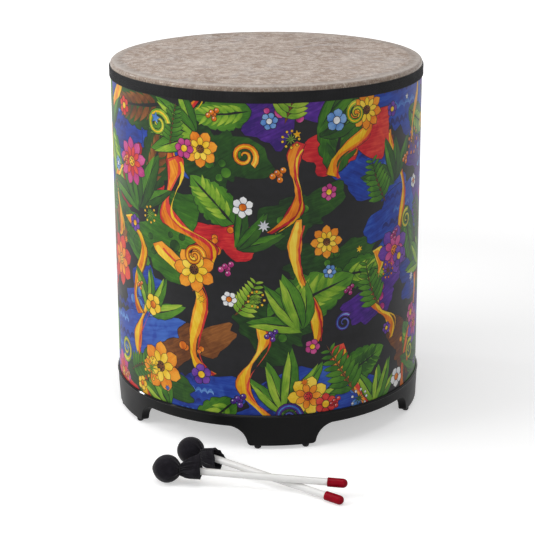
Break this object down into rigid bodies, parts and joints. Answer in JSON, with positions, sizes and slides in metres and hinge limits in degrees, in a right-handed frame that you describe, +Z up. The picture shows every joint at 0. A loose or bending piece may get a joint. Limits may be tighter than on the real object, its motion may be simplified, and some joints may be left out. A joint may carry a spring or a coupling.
{
  "type": "gathering drum",
  "caption": "Tall cylindrical floor drum with a pre-tuned flat head, a printed shell and a footed base ring, with soft cloth-covered beaters that lie in front of it.",
  "frame": {"origin": "on the drum's axis, in the floor plane through the flat bottoms of the foot pads", "axes": "+Z up along the drum's axis; -Y is the front, where the beaters lie; +X is to the right seen from the front"},
  "size_m": [0.4646, 0.6488, 0.5267],
  "materials": {
    "fibre_shell": "bare pressed fibre, matt",
    "printed_wrap": "printed sheet with a fine cloth grain, satin",
    "head_film": "mottled fibre film, matt",
    "woven_band": "ribbed woven tape",
    "black_moulding": "satin moulded plastic",
    "screw_steel": "zinc plated",
    "pad_rubber": "matt rubber",
    "white_rod": "glossy white",
    "rubber_core": "matt",
    "black_cloth": "matt woven cloth",
    "elastic_band": "matt elastic",
    "red_vinyl": "glossy dipped vinyl"
  },
  "bodies": {
    "drum": {"drum_shell": "fibre_shell", "shell_wrap": "printed_wrap", "head_ring": "black_moulding", "drumhead": "head_film", "rim_band": "woven_band", "base_ring": "black_moulding", "base_screws": "screw_steel", "foot_pad_1": "pad_rubber", "foot_pad_2": "pad_rubber", "foot_pad_3": "pad_rubber", "foot_pad_4": "pad_rubber", "foot_pad_5": "pad_rubber", "foot_pad_6": "pad_rubber", "foot_pad_7": "pad_rubber", "foot_pad_8": "pad_rubber", "foot_pad_9": "pad_rubber", "foot_pad_10": "pad_rubber"},
    "lower_mallet": {"mallet_2_rod": "white_rod", "mallet_2_core": "rubber_core", "mallet_2_cover": "black_cloth", "mallet_2_neck_band": "elastic_band", "mallet_2_end_cap": "red_vinyl"},
    "upper_mallet": {"mallet_1_rod": "white_rod", "mallet_1_core": "rubber_core", "mallet_1_cover": "black_cloth", "mallet_1_neck_band": "elastic_band", "mallet_1_end_cap": "red_vinyl"}
  },
  "joints": [
    {"name": "lower_mallet_lift", "type": "slide", "parent": "drum", "child": "lower_mallet", "axis": [0, 0, 1], "range_m": [0, 0.6]},
    {"name": "upper_mallet_lift", "type": "slide", "parent": "lower_mallet", "child": "upper_mallet", "axis": [0, 0, 1], "range_m": [0, 0.6]}
  ]
}
